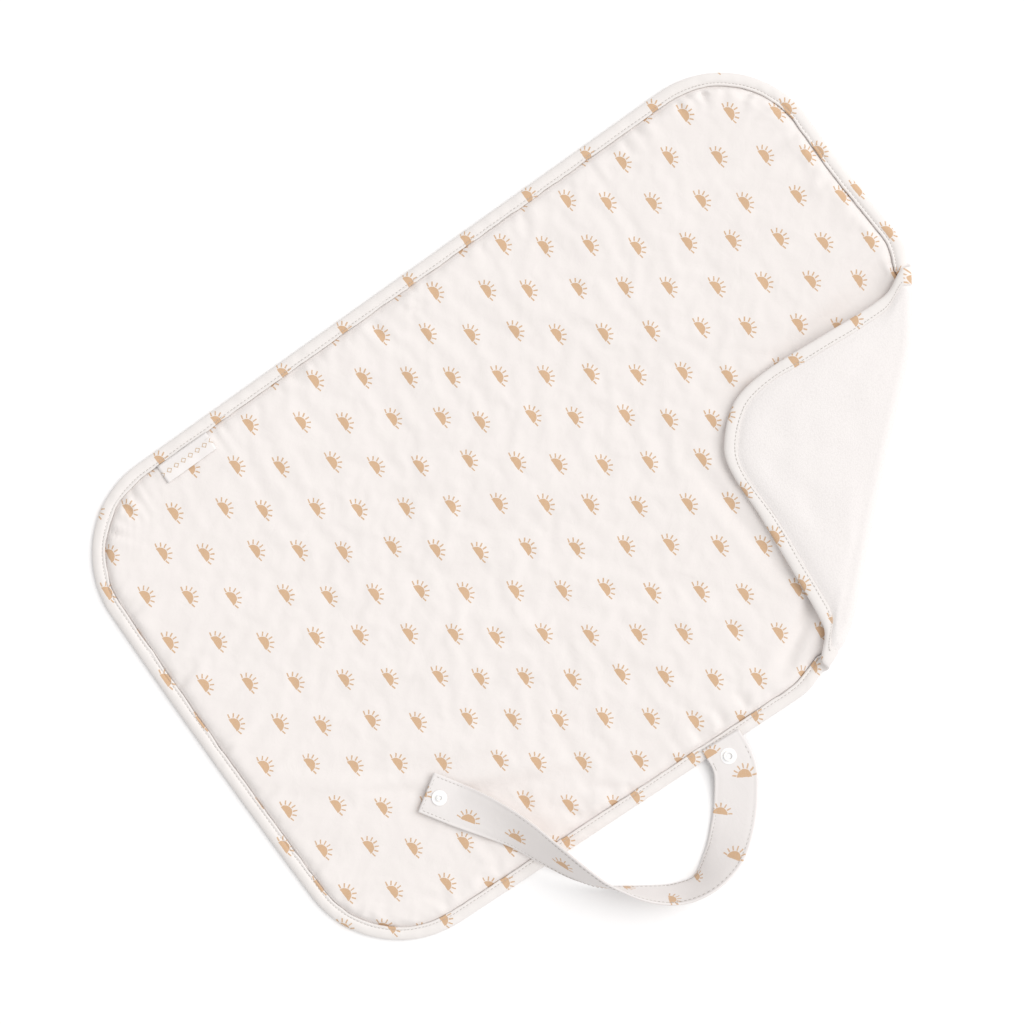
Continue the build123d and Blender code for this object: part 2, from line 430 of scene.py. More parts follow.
def printedCotton(name, cloth, offset, crinkle):
    # plain-woven cotton, screen printed: matt, soft at grazing light, ink sunk into the threads
    material, tree = newMaterial(name)
    calc, millimetres = arithmetic(tree), clothPoint(tree, offset)
    ink = halfSunPrint(tree, millimetres)
    fade = addNode(tree, "TexNoise", {}, {"Vector": millimetres, "Scale": 1.3, "Detail": 3.0})
    worn = addNode(tree, "MapRange", {}, {"Value": fade.outputs["Fac"], "From Min": 0.3, "From Max": 0.7,
                                          "To Min": 0.86, "To Max": 1.0})
    inked = calc("MULTIPLY", ink, worn.outputs[0])
    mottle = addNode(tree, "TexNoise", {}, {"Vector": millimetres, "Scale": 0.03, "Detail": 4.0})
    ground = shade(tree, mottle.outputs["Fac"], cloth)
    colour = addNode(tree, "Mix", {"data_type": "RGBA"},
                     {"Factor": inked, 6: ground.outputs[2], 7: linearColour(printed["ink"])})
    # a wave texture repeats every 2 pi over 20 times its scale
    pitch = math.pi / (10 * printed["threadPitch"])
    warp = addNode(tree, "TexWave", {"bands_direction": "X"},
                   {"Vector": millimetres, "Scale": pitch, "Distortion": 0.6, "Detail": 1.0})
    weft = addNode(tree, "TexWave", {"bands_direction": "Y"},
                   {"Vector": millimetres, "Scale": pitch, "Distortion": 0.6, "Detail": 1.0})
    weave = calc("ADD", warp.outputs["Fac"], weft.outputs["Fac"])
    threads = addNode(tree, "Bump", {}, {"Strength": 0.25, "Distance": 0.00008, "Height": weave})
    crumple = addNode(tree, "TexNoise", {}, {"Vector": millimetres, "Scale": 0.075, "Detail": 5.0,
                                             "Roughness": 0.55, "Distortion": 0.8})
    creases = addNode(tree, "Bump", {},
                      {"Strength": crinkle, "Distance": 0.0012, "Height": crumple.outputs["Fac"],
                       "Normal": threads.outputs[0]})
    shader = addNode(tree, "BsdfPrincipled", {},
                     {"Roughness": 0.88, "Sheen Weight": 0.12, "Sheen Roughness": 0.5,
                      "IOR": 1.46, "Specular IOR Level": 0.25})
    finishMaterial(tree, shader, Base_Color=colour.outputs[2], Normal=creases.outputs[0])
    return material


def loopedTerry():
    # cotton terry, looped pile: no gloss at all, a nubby grain of loops that shade each other, painted into
    # its colour as painted shade between the loops
    material, tree = newMaterial("Looped cotton terry")
    place = addNode(tree, "TexCoord", {}, {}).outputs["Object"]
    loop = addNode(tree, "TexVoronoi", {"feature": "F1"},
                   {"Vector": place, "Scale": 900.0, "Randomness": 0.9})  # loops 1.1 mm apart
    tuft = addNode(tree, "TexNoise", {}, {"Vector": place, "Scale": 260.0, "Detail": 3.0})
    pile = arithmetic(tree)("MULTIPLY_ADD", loop.outputs["Distance"], -0.8, tuft.outputs["Fac"])
    # painted shade: the colour darkens away from each loop's middle, between the loops
    colour = shade(tree, loop.outputs["Distance"], colours["terry"])
    bump = addNode(tree, "Bump", {}, {"Strength": 0.3, "Distance": 0.0005, "Height": pile})
    shader = addNode(tree, "BsdfPrincipled", {},
                     {"Roughness": 0.95, "Sheen Weight": 0.3, "Sheen Roughness": 0.6,
                      "Specular IOR Level": 0.15})
    finishMaterial(tree, shader, Base_Color=colour.outputs[2], Normal=bump.outputs[0])
    return material


def spunThread():
    # spun polyester sewing thread: a soft sheen along the twist, painted into its colour as light and dark
    # bands; its colour is darkened overall as painted shade of the stitch holes
    material, tree = newMaterial("Spun polyester thread, painted shade and sheen")
    place = addNode(tree, "TexCoord", {}, {})
    twist = addNode(tree, "TexWave", {"bands_direction": "DIAGONAL"},
                    {"Vector": place.outputs["Object"], "Scale": 900.0, "Distortion": 1.0})
    # painted sheen: the colour runs light and dark along the twist, between two shades darkened as painted
    # shade
    colour = shade(tree, twist.outputs["Fac"], colours["thread"])
    bump = addNode(tree, "Bump", {}, {"Strength": 0.4, "Distance": 0.0001, "Height": twist.outputs["Fac"]})
    shader = addNode(tree, "BsdfPrincipled", {}, {"Roughness": 0.55, "Sheen Weight": 0.1})
    finishMaterial(tree, shader, Base_Color=colour.outputs[2], Normal=bump.outputs[0])
    return material


def mouldedAcetal():
    # acetal, injection moulded with a fine satin texture: waxy white with a soft highlight
    material, tree = newMaterial("Moulded acetal")
    place = addNode(tree, "TexCoord", {}, {})
    grain = addNode(tree, "TexNoise", {}, {"Vector": place.outputs["Object"], "Scale": 2200.0, "Detail": 2.0})
    rough = addNode(tree, "MapRange", {}, {"Value": grain.outputs["Fac"], "To Min": 0.28, "To Max": 0.4})
    colour = shade(tree, grain.outputs["Fac"], colours["acetal"])
    bump = addNode(tree, "Bump", {}, {"Strength": 0.08, "Distance": 0.00005, "Height": grain.outputs["Fac"]})
    shader = addNode(tree, "BsdfPrincipled", {},
                     {"IOR": 1.48, "Subsurface Weight": 0.1, "Subsurface Scale": 0.5,
                      "Subsurface Radius": (0.003, 0.0025, 0.002)})
    finishMaterial(tree, shader, Base_Color=colour.outputs[2], Roughness=rough.outputs[0],
                   Normal=bump.outputs[0])
    return material


coverCotton = printedCotton("Printed cotton, cover", **prints["cover"])
bindingCotton = printedCotton("Printed cotton, binding", **prints["binding"])
strapCotton = printedCotton("Printed cotton, strap, painted shade", **prints["strap"])
terry = loopedTerry()
thread = spunThread()
acetal = mouldedAcetal()
print("materials made")


cover = {
    "inset": 8.3 * mm,  # its edge, under the binding
    "held": 9.7 * mm,  # sewn down to here
    "groove": 10.2 * mm,  # the seam pulls the cloth down to here
    "grooveSlope": 1.5,
    "spacing": 4.0 * mm,
    "underside": 2.3 * mm,
    "ease": 0.03,  # how much longer the cloth is than the seam, at most
    "easeField": 0.004,
    "easeReach": 40 * mm,
    "bunchSize": 70 * mm,  # of the lengths of seam that gather it more or less
    "fullSide": 120 * mm,  # past here, on the label's side, it is eased fully
    "quietSides": 0.75,  # and this much elsewhere
    "strapPull": 0.6,  # where the strap's base is sewn in
    "crown": 5,  # how steeply it rises from the seam
    # soft waves of the wadding: height in millimetres, size, seed, stretch
    "swells": ((0.30, 95 * mm, 3, 2.0), (0.16, 38 * mm, 5, 1.7)),
    "waveHeading": math.radians(-35.5),
    # creases: from, to, width and height, in millimetres
    "creases": (((-288, -22), (-196, -108), 9, 0.9), ((-196, -112), (-40, -186), 8, -1.2),
                ((-205, -96), (-120, -140), 10, 0.7), ((120, -143), (60, -177), 7, -3.8),
                ((92, -20), (100, -120), 9, -0.9), ((186, -3), (286, 3), 11, -4.2),
                ((-225, -85), (-192, -108), 5, -1.2), ((-104, -166), (-72, -189), 4, -1.4),
                ((-240, -168), (-220, -184), 4, -1.0), ((-122, -174), (-110, -192), 4, -1.0),
                ((-60, 40), (60, -10), 12, 0.6), ((-150, -60), (-20, -120), 12, -0.6)),
    "pucker": 1.15 * mm,  # height of the gathers beside the seam
    "gathers": (13 * mm, 6.5 * mm),  # sizes
    "gatherReach": (14 * mm, 12 * mm),  # full height from this inset, and how slowly they fade
    "slant": 0.25,  # how far they lean along the seam
    "scale": 10.0,  # the simulation runs at this size, where the solver is steady
    "frames": 22,
    "quality": 5,
    "unevenness": 0.05 * mm,  # what the first buckles start from
    "mass": 0.3,
    "stretchStiffness": 15,
    "shearStiffness": 5,
    "bendStiffness": 1.6,
    "fieldHold": 0.3,  # how firmly it clings to the wadding
}


def creaseLine(x, y, start, end, width):
    # 1 on a soft ridge between two points, 0 away from it
    a, b = np.array(start) * mm, np.array(end) * mm
    run = b - a
    t = np.clip(((x - a[0]) * run[0] + (y - a[1]) * run[1]) / (run @ run), 0, 1)
    off = np.hypot(x - a[0] - t * run[0], y - a[1] - t * run[1])
    return np.exp(-(off / width) ** 2) * np.sin(math.pi * np.clip(t, 0.02, 0.98)) ** 0.5


def coverRest(x, y):
    # the wadding's surface, which the cloth lies on
    d = insetOf(x, y)
    rise = np.clip((d - mat["bindingWidth"]) / mat["bevel"], 0, 1)
    loft = mat["fieldHeight"] - mat["seamHeight"]
    z = mat["seamHeight"] + loft * (1 - (1 - rise) ** cover["crown"])
    field = smooth(d, 12 * mm, 45 * mm)
    for height, size, seed, stretch in cover["swells"]:
        z += field * height * mm * softNoise(x, y, size, seed, cover["waveHeading"], stretch)
    for start, end, width, height in cover["creases"]:
        z += height * mm * creaseLine(x, y, start, end, width * mm)
    slant = cover["slant"] * (d - cover["held"]) * softNoise(x, y, 60 * mm, 14)
    runX, runY = runAt(x, y)
    runX, runY = runX + slant, runY + slant
    large, small = cover["gathers"]
    gather = softNoise(runX, runY, large, 15) + 0.6 * softNoise(runX, runY, small, 16)
    full, reach = cover["gatherReach"]
    fade = smooth(d, cover["held"], full) * np.exp(-np.maximum(d - full, 0) / reach)
    return z + cover["pucker"] * easeAt(x, y) * gather * fade


def easeAt(x, y):
    # where the seam gathers the cloth: in bunches, most along the label's long edge
    d = insetOf(x, y)
    edge = np.exp(-np.maximum(d - cover["held"], 0) / cover["easeReach"])
    bunch = 0.62 + 0.38 * softNoise(x, y, cover["bunchSize"], 11)
    side = np.where(y > cover["fullSide"], 1.0, cover["quietSides"])
    strapBase = np.exp(-(((x + 4 * mm) / (30 * mm)) ** 2 + ((y + halfWide) / (40 * mm)) ** 2))
    return np.clip(edge * bunch * side + cover["strapPull"] * strapBase, 0, 1)


def wrinkleCover(x, y, z):
    # cloth, eased onto the seam, buckles over the springy wadding
    rows, columns = x.shape
    big = cover["scale"]
    seeds = np.random.default_rng(8).normal(0, cover["unevenness"], x.shape)
    start = np.stack([x, y, z + seeds], -1)
    cloth = makeMesh("coverCloth", start * big, gridFaces(rows, columns))
    hold, ease = cloth.vertex_groups.new(name="hold"), cloth.vertex_groups.new(name="ease")
    held = insetOf(x, y).ravel() < cover["held"]
    longer = easeAt(x, y).ravel()
    for i in range(rows * columns):
        hold.add([i], 1.0 if held[i] else cover["fieldHold"], "REPLACE")
        ease.add([i], float(longer[i]), "REPLACE")
    modifier = cloth.modifiers.new("Cloth", "CLOTH")
    settings = modifier.settings
    settings.quality = cover["quality"]
    settings.mass = cover["mass"]
    settings.tension_stiffness = settings.compression_stiffness = cover["stretchStiffness"]
    settings.shear_stiffness = cover["shearStiffness"]
    settings.bending_stiffness = cover["bendStiffness"]
    settings.vertex_group_mass = "hold"
    settings.pin_stiffness = 1.0
    settings.vertex_group_shrink = "ease"
    settings.shrink_min = -cover["easeField"]
    settings.shrink_max = -cover["ease"]
    settings.effector_weights.gravity = 0.0
    modifier.collision_settings.use_collision = False
    for step in range(1, cover["frames"] + 1):
        bpy.context.scene.frame_set(step)
    bent = cloth.evaluated_get(bpy.context.evaluated_depsgraph_get()).to_mesh()
    points = np.zeros(len(bent.vertices) * 3, np.float32)
    bent.vertices.foreach_get("co", points)
    bpy.data.objects.remove(cloth)
    bpy.context.scene.frame_set(1)
    return points.reshape(rows, columns, 3).astype(float) / big


def buildCover():
    x, y = roundedGrid(cover["inset"], cover["spacing"])
    z = coverRest(x, y)
    flat = np.stack([x, y], -1)
    shaped = wrinkleCover(x, y, z)
    shaped, flat = refine(shaped), refine(flat)
    past = np.maximum(insetOf(flat[..., 0], flat[..., 1]) - cover["groove"], 0)
    shaped[..., 2] = np.minimum(shaped[..., 2], mat["seamHeight"] + cover["grooveSlope"] * past)
    under = shaped.copy()
    under[..., 2] = cover["underside"]
    piece = closedSlab("printedCover", shaped, under, flat)
    cutAtFold(piece)
    layOut(piece)
    piece.data.materials.append(coverCotton)
    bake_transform(piece)
    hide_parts("printed_cover", "wadding", "waterproof_liner", "corner_printed_cover",
                "corner_wadding", "corner_waterproof_liner")


buildCover()
print("cover made")


terryBack = {
    "inset": 7.5 * mm,
    "spacing": 6.0 * mm,
    "thickness": 2.1 * mm,
    "tuck": 0.7 * mm,  # where the binding holds it in
    # soft waves on the turned corner: height in millimetres, size, seed
    "swells": ((0.28, 60 * mm, 21), (0.12, 22 * mm, 23)),
}


def buildTerry():
    x, y = roundedGrid(terryBack["inset"], terryBack["spacing"])
    x, y = refine(np.stack([x, y], -1)).transpose(2, 0, 1)
    d = insetOf(x, y)
    turned = smooth(pastFold(x, y), -2 * mm, 25 * mm)  # the corner's terry lies upwards, free to swell
    low = terryBack["tuck"] * (1 - smooth(d, 8.5 * mm, 15 * mm))
    relief = sum(height * softNoise(x, y, size, seed) for height, size, seed in terryBack["swells"])
    low += turned * smooth(d, 9 * mm, 30 * mm) * relief * mm
    flat = np.stack([x, y], -1)
    lower = np.stack([x, y, low], -1)
    upper = np.stack([x, y, np.full(x.shape, terryBack["thickness"])], -1)
    piece = closedSlab("terryBacking", upper, lower, flat)
    cutAtFold(piece)
    layOut(piece)
    piece.data.materials.append(terry)
    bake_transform(piece)
    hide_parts("terry_backing", "corner_terry_backing")


buildTerry()
print("terry made")


binding = {
    "spacing": 2.2 * mm,
    "stitchInset": 7.6 * mm,
    "stitchPitch": 2.9 * mm,
    "stitchLength": 2.2 * mm,
    "stitchRadius": 0.25 * mm,
    "stitchHeights": (3.82 * mm, -0.05 * mm),  # above, and below on the turned corner
    "edgeWander": ((0.16 * mm, 24 * mm, 35), (0.06 * mm, 8 * mm, 36)),  # depth, size, seed
    "puckers": ((0.16 * mm, 9 * mm, 31), (0.12 * mm, 31 * mm, 33)),
    "fuller": 0.45 * mm,  # its underside, where the corner is turned over
}
# across the strip, from its inner edge on top, round the outside, to its inner edge below,
# and back along the inside of the fold: inset and height in millimetres
bindingProfile = [(9.7, 3.1), (9.7, 3.8), (9.3, 4.4), (8.7, 4.5), (8.0, 4.0), (7.6, 3.75), (7.2, 4.0),
                  (6.3, 4.4), (5.0, 4.5), (3.6, 4.35), (2.3, 3.9), (1.1, 3.3), (0.3, 2.4), (0.2, 1.5),
                  (0.8, 0.7), (2.0, 0.2), (4.0, 0.05), (6.4, 0.05), (7.9, 0.1), (8.9, 0.06), (9.5, 0.1),
                  (9.5, 0.5), (7.0, 0.5), (3.2, 0.6), (1.5, 1.3), (1.5, 2.6), (3.0, 3.4), (5.2, 3.7),
                  (7.4, 2.9), (8.6, 2.9), (9.5, 2.8)]


def outline(spacing):
    # points and outward normals round the mat's edge, and the distance run
    r = mat["cornerRadius"]
    points, normals = [], []
    for turn, sx, sy in ((0, 1, 1), (1, -1, 1), (2, -1, -1), (3, 1, -1)):
        centre = np.array([sx * (halfLong - r), sy * (halfWide - r)])
        steps = round(r * math.pi / 2 / spacing)
        for angle in np.linspace(0, math.pi / 2, steps + 1) + turn * math.pi / 2:
            normal = np.array([math.cos(angle), math.sin(angle)])
            points.append(centre + r * normal)
            normals.append(normal)
        ahead = 2 * (halfWide - r) if turn % 2 else 2 * (halfLong - r)
        way = np.array([-normals[-1][1], normals[-1][0]])
        for step in range(1, round(ahead / spacing)):
            points.append(points[-1] + way * ahead / round(ahead / spacing))
            normals.append(normals[-1])
    points, normals = np.array(points), np.array(normals)
    runs = np.linalg.norm(np.roll(points, -1, 0) - points, axis=1)
    return points, normals, np.concatenate([[0], np.cumsum(runs)])


def alongSeam(run, waves):
    # soft waves along the seam, each of its own depth, size and seed
    return sum(depth * softNoise(run, 0 * run, size, seed) for depth, size, seed in waves)


def bindingHeights(u, h, x, y, run):
    # small puckers between stitches, and a fuller underside where the corner is turned over
    turned = smooth(pastFold(x, y), 0, 25 * mm)
    fullness = np.clip(np.sin(math.pi * np.clip((u - 0.3 * mm) / (7.6 * mm), 0, 1)), 0, 1)
    pucker = alongSeam(run, binding["puckers"])
    upper = h > 2 * mm
    h = h + np.where(upper, 1, 0.5 * turned) * fullness * pucker
    return np.minimum(h - np.where(upper, 0, turned * binding["fuller"] * fullness), mat["bindingTop"])


def buildBinding():
    points, normals, runs = outline(binding["spacing"])
    profile = np.array(bindingProfile) * mm
    u = profile[None, :, 0] + 0 * points[:, :1]
    h = profile[None, :, 1] + 0 * points[:, :1]
    run = runs[:-1, None] + 0 * u
    u = u + alongSeam(run, binding["edgeWander"]) * smooth(u, 5 * mm, 9 * mm)
    x = points[:, :1] - u * normals[:, :1]
    y = points[:, 1:] - u * normals[:, 1:]
    h = bindingHeights(u, h, x, y, run)
    rows, columns = x.shape
    index = np.arange(rows * columns).reshape(rows, columns)
    right, below = np.roll(index, -1, 0), np.roll(index, -1, 1)
    faces = np.stack([index, right, np.roll(right, -1, 1), below], -1).reshape(-1, 4)
    piece = makeMesh("edgeBinding", np.stack([x, y, h], -1), faces, np.stack([x, y], -1))
    cutAtFold(piece)
    mesh = piece.data
    below = [f.index for f in mesh.polygons
             if f.center.z < 1.6 * mm and pastFold(f.center.x, f.center.y) > mat["foldRoom"]]
    layOut(piece)
    # the strip under the corner was cut with its suns the same way up as the rest, once it is turned
    layer = mesh.uv_layers["cloth"].data
    for index in below:
        for corner in mesh.polygons[index].loop_indices:
            layer[corner].uv = mesh.vertices[mesh.loops[corner].vertex_index].co.xy
    piece.data.materials.append(bindingCotton)
    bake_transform(piece)
    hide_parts("edge_binding", "corner_edge_binding")


def stitchShape(length, radius, sides=6):
    # one stitch lying along x, its ends dipping into the cloth
    rings = ((-0.5, 0.35, -1.1), (-0.32, 0.9, -0.1), (0, 1, 0.15), (0.32, 0.9, -0.1), (0.5, 0.35, -1.1))
    shape = []
    for along, size, sink in rings:
        for side in range(sides):
            a = 2 * math.pi * side / sides
            shape.append((along * length, radius * size * math.cos(a), radius * (size * math.sin(a) + sink)))
    faces = []
    for ring in range(len(rings) - 1):
        here, there = ring * sides, (ring + 1) * sides
        for side in range(sides):
            after = (side + 1) % sides
            faces.append((here + side, here + after, there + after, there + side))
    caps = [tuple(range(sides))[::-1], tuple(range((len(rings) - 1) * sides, len(rings) * sides))]
    return np.array(shape), faces + caps


def stitchRow(name, places, ways, ups, length, radius):
    # a stitch at each place, lying along its way with its back to its up
    shape, faces = stitchShape(length, radius)
    sides = np.cross(ups, ways)
    points = (places[:, None] + shape[None, :, :1] * ways[:, None] + shape[None, :, 1:2] * sides[:, None]
              + shape[None, :, 2:] * ups[:, None])
    allFaces = [tuple(v + len(shape) * n for v in face) for n in range(len(places)) for face in faces]
    return makeMesh(name, points, allFaces)


def buildBindingStitches():
    points, normals, runs = outline(0.5 * mm)
    count = round(runs[-1] / binding["stitchPitch"])
    at = np.searchsorted(runs, (np.arange(count) + 0.5) * runs[-1] / count) - 1
    at = np.clip(at, 0, len(points) - 1)
    run = runs[at]
    inset = binding["stitchInset"] + 0.12 * mm * softNoise(run, 0 * run, 40 * mm, 41)
    xy = points[at] - inset[:, None] * normals[at]
    ways = np.stack([-normals[at][:, 1], normals[at][:, 0], 0 * run], -1)
    slant = 0.05 * np.random.default_rng(42).normal(size=count)[:, None]
    ways = ways + slant * np.stack([normals[at][:, 0], normals[at][:, 1], 0 * run], -1)
    ways /= np.linalg.norm(ways, axis=1)[:, None]
    above, below = binding["stitchHeights"]
    upper = np.stack([xy[:, 0], xy[:, 1], np.full(count, above)], -1)
    ups = np.tile([0.0, 0.0, 1.0], (count, 1))
    turned = pastFold(xy[:, 0], xy[:, 1]) > mat["foldRoom"]
    lower = np.stack([xy[:, 0], xy[:, 1], np.full(count, below)], -1)[turned]
    places = np.concatenate([upper, lower])
    piece = stitchRow("bindingStitches", places, np.concatenate([ways, ways[turned]]),
                      np.concatenate([ups, -ups[turned]]), binding["stitchLength"], binding["stitchRadius"])
    layOut(piece)
    piece.data.materials.append(thread)
    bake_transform(piece)
    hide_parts("binding_stitching", "corner_binding_stitching")


buildBinding()
buildBindingStitches()
print("binding made")


strap = {
    "width": 30 * mm,
    "thickness": 1.6 * mm,
    "stitchMargin": 2.2 * mm,
    "stitchPitch": 3.0 * mm,
    "stitchLength": 2.3 * mm,
    "stitchRadius": 0.24 * mm,
    "start": 4 * mm,  # past the first station, where it comes out of the seam
    "ripple": 0.35 * mm,
    "cup": 0.5 * mm,  # how far its edges curl
    "backOffset": (2 * mm, 23 * mm),  # slides the print on its back
    "bend": 14 * mm,  # of cloth either side of the swing axis that gives
}
# along the strap: x, y and the height of the lower edge in millimetres, and the roll in degrees
strapStations = [(-3.5, -190.7, 4.6, 0), (-7, -216, 4.6, 0), (-17, -232, 1.8, 3), (-31, -248, 0.4, 13),
                 (-50, -262, 0.3, 36), (-73, -268, 0.3, 66), (-91, -263, 0.3, 70), (-108, -251, 0.8, 78),
                 (-120, -239, 2.6, 91), (-130, -227, 5.4, 105), (-137, -213, 8.4, 117),
                 (-147, -188, 8.5, 132), (-155, -166, 8.5, 143), (-168, -142, 8.7, 163),
                 (-180.5, -123.2, 9.6, 180), (-192.5, -104.3, 9.6, 180)]


def strapFrames(spacing):
    # points along the band, the way it runs, its width direction and its face's normal
    stations = np.array(strapStations, float)
    steps = np.linalg.norm(np.diff(stations[:, :2], axis=0), axis=1)
    at = np.concatenate([[0], np.cumsum(steps)])
    start = strap["start"] / mm
    fine = np.linspace(start, at[-1], round((at[-1] - start) * mm / spacing) + 1)
    slopes = np.gradient(stations, at, axis=0)
    slopes[0], slopes[-1] = (stations[1] - stations[0]) / steps[0], (stations[-1] - stations[-2]) / steps[-1]
    place = np.clip(np.searchsorted(at, fine, side="right") - 1, 0, len(steps) - 1)
    t = ((fine - at[place]) / steps[place])[:, None]
    run = steps[place][:, None]
    p = ((2 * t ** 3 - 3 * t ** 2 + 1) * stations[place] + (t ** 3 - 2 * t ** 2 + t) * run * slopes[place]
         + (3 * t ** 2 - 2 * t ** 3) * stations[place + 1] + (t ** 3 - t ** 2) * run * slopes[place + 1])
    way = np.gradient(p[:, :2], axis=0)
    way /= np.linalg.norm(way, axis=1)[:, None]
    roll = np.radians(p[:, 3])
    height = p[:, 2] + 15 * np.sin(roll) + 0.8 * np.abs(np.cos(roll))
    centre = np.stack([p[:, 0], p[:, 1], height], -1) * mm
    across = np.stack([-way[:, 1] * np.cos(roll), way[:, 0] * np.cos(roll), np.sin(roll)], -1)
    tangent = np.gradient(centre, axis=0)
    tangent /= np.linalg.norm(tangent, axis=1)[:, None]
    across -= np.sum(across * tangent, 1)[:, None] * tangent
    across /= np.linalg.norm(across, axis=1)[:, None]
    return centre, tangent, across, np.cross(tangent, across), (fine - start) * mm


def strapSection():
    # across the band, once round: width share, and thickness share with a dip at each stitch row
    half = strap["width"] / 2
    margin = strap["stitchMargin"]
    section = []
    for w in (-half + 0.5 * mm, -half + margin - 0.8 * mm, -half + margin, -half + margin + 1 * mm,
              -8 * mm, -3 * mm, 3 * mm, 8 * mm,
              half - margin - 1 * mm, half - margin, half - margin + 0.8 * mm, half - 0.5 * mm):
        dip = 0.75 if abs(abs(w) - (half - margin)) < 0.1 * mm else 1.0
        section.append((w, strap["thickness"] / 2 * dip))
    bevel = strap["thickness"] * 0.3
    edge = [(half - 0.1 * mm, bevel), (half, 0), (half - 0.1 * mm, -bevel)]
    lower = [(w, -t) for w, t in reversed(section)]
    return section + edge + lower + [(-w, -t) for w, t in edge]


def buildStrap():
    centre, tangent, across, normal, run = strapFrames(1.6 * mm)
    section = np.array(strapSection())
    w, t = section[None, :, 0], section[None, :, 1]
    ripple = strap["ripple"] * softNoise(run, 0 * run, 34 * mm, 51) * smooth(run, 20 * mm, 50 * mm)
    ripple *= smooth(run[-1] - run, 22 * mm, 50 * mm)  # the snaps' ends stay flat
    cup = strap["cup"] * np.sin(run * 40)[:, None] * (w / (15 * mm)) ** 2 * (ripple != 0)[:, None]
    points = (centre[:, None] + across[:, None] * w[..., None]
              + normal[:, None] * (t + ripple[:, None] * 0.5 + cup)[..., None])
    rows, columns = points.shape[:2]
    index = np.arange(rows * columns).reshape(rows, columns)
    faces = np.stack([index[:-1], index[1:], np.roll(index[1:], -1, 1), np.roll(index[:-1], -1, 1)], -1)
    ends = [tuple(index[0]), tuple(index[-1][::-1])]
    faces = faces.reshape(-1, 4).tolist() + ends
    front = np.stack([-run[:, None] + 0 * w, w + 0 * run[:, None]], -1)
    slideX, slideY = strap["backOffset"]
    back = np.stack([w + slideX + 0 * run[:, None], run[:, None] - run[-1] + slideY + 0 * w], -1)
    uv = np.where((t > -strap["thickness"] * 0.2)[..., None], front, back)
    piece = makeMesh("strap", points, faces, uv)
    piece.data.materials.append(strapCotton)
    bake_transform(piece)
    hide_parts("strap_base", "strap_base_interlining", "strap_arm", "strap_arm_interlining")
    return piece


def buildStrapStitches():
    centre, tangent, across, normal, run = strapFrames(0.5 * mm)
    side = strap["width"] / 2 - strap["stitchMargin"]
    lift = strap["thickness"] / 2 * 0.8
    at = np.searchsorted(run, np.arange(12 * mm, run[-1] - 3 * mm, strap["stitchPitch"]))
    places, ways, ups = [], [], []
    for w in (-side, side):
        for face in (-1, 1):
            places.append(centre[at] + across[at] * w + normal[at] * face * lift)
            ways.append(tangent[at])
            ups.append(normal[at] * face)
    end = len(run) - 1 - round(strap["stitchMargin"] / (0.5 * mm))
    widths = np.arange(-side + 1.5 * mm, side - 1 * mm, strap["stitchPitch"])
    for face in (-1, 1):
        places.append(centre[end] + across[end] * widths[:, None] + normal[end] * face * lift)
        ways.append(np.tile(across[end], (len(widths), 1)))
        ups.append(np.tile(normal[end] * face, (len(widths), 1)))
    piece = stitchRow("strapStitches", np.concatenate(places), np.concatenate(ways), np.concatenate(ups),
                      strap["stitchLength"], strap["stitchRadius"])
    piece.data.materials.append(thread)
    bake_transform(piece)
    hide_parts("strap_base_stitching", "strap_arm_stitching")
    return piece


strapPiece = buildStrap()
strapStitches = buildStrapStitches()
for name in ("snap_socket", "snap_socket_cap", "snap_stud", "snap_stud_cap"):
    snap = frame["nodes"][name]
    snap.data.materials.clear()
    snap.data.materials.append(acetal)
    for polygon in snap.data.polygons:
        polygon.material_index = 0
stripLength = float(strapFrames(1.6 * mm)[4][-1])
print("strap made")


labelTag = {
    "cloth": 0.32 * mm,
    "fold": 0.55 * mm,  # room inside the fold
    "seamAt": 4.4 * mm,  # height where it comes out of the seam
    "liesAt": 8.15 * mm,  # height of its lower ply on the cover
    "liesFrom": 0.62,  # of the way down
    "hem": 0.94,  # of the way down, where the fold begins
    "curl": 1.2 * mm,  # how far its free corner lifts
    "curlWidth": 16 * mm,
    "waviness": 0.12 * mm,
    # its weave, in millimetres
    "ribPitch": 0.5,
    "diamondPitch": 6.0,
    "rowAt": 7.0,
    "diamondRadius": 1.9,
    "lineWidth": 0.7,
}


def satinRibbon():
    # satin-woven polyester label: fine ribs, a faint gloss, a woven row of diamonds
    material, tree = newMaterial("Satin-woven label ribbon")
    calc, millimetres = arithmetic(tree), clothPoint(tree)
    ribs = addNode(tree, "TexWave", {"bands_direction": "Y"},
                   {"Vector": millimetres, "Scale": math.pi / (10 * labelTag["ribPitch"])})
    split = addNode(tree, "SeparateXYZ", {}, {0: millimetres})
    repeat = calc("PINGPONG", split.outputs["X"], labelTag["diamondPitch"] / 2)
    away = calc("ABSOLUTE", calc("SUBTRACT", split.outputs["Y"], labelTag["rowAt"]))
    band = calc("COMPARE", calc("ADD", repeat, away), labelTag["diamondRadius"], labelTag["lineWidth"] / 2)
    colour = shade(tree, band, colours["ribbon"])
    bump = addNode(tree, "Bump", {}, {"Strength": 0.3, "Distance": 0.00008, "Height": ribs.outputs["Fac"]})
    shader = addNode(tree, "BsdfPrincipled", {}, {"Roughness": 0.42, "Sheen Weight": 0.05})
    finishMaterial(tree, shader, Base_Color=colour.outputs[2], Normal=bump.outputs[0])
    return material


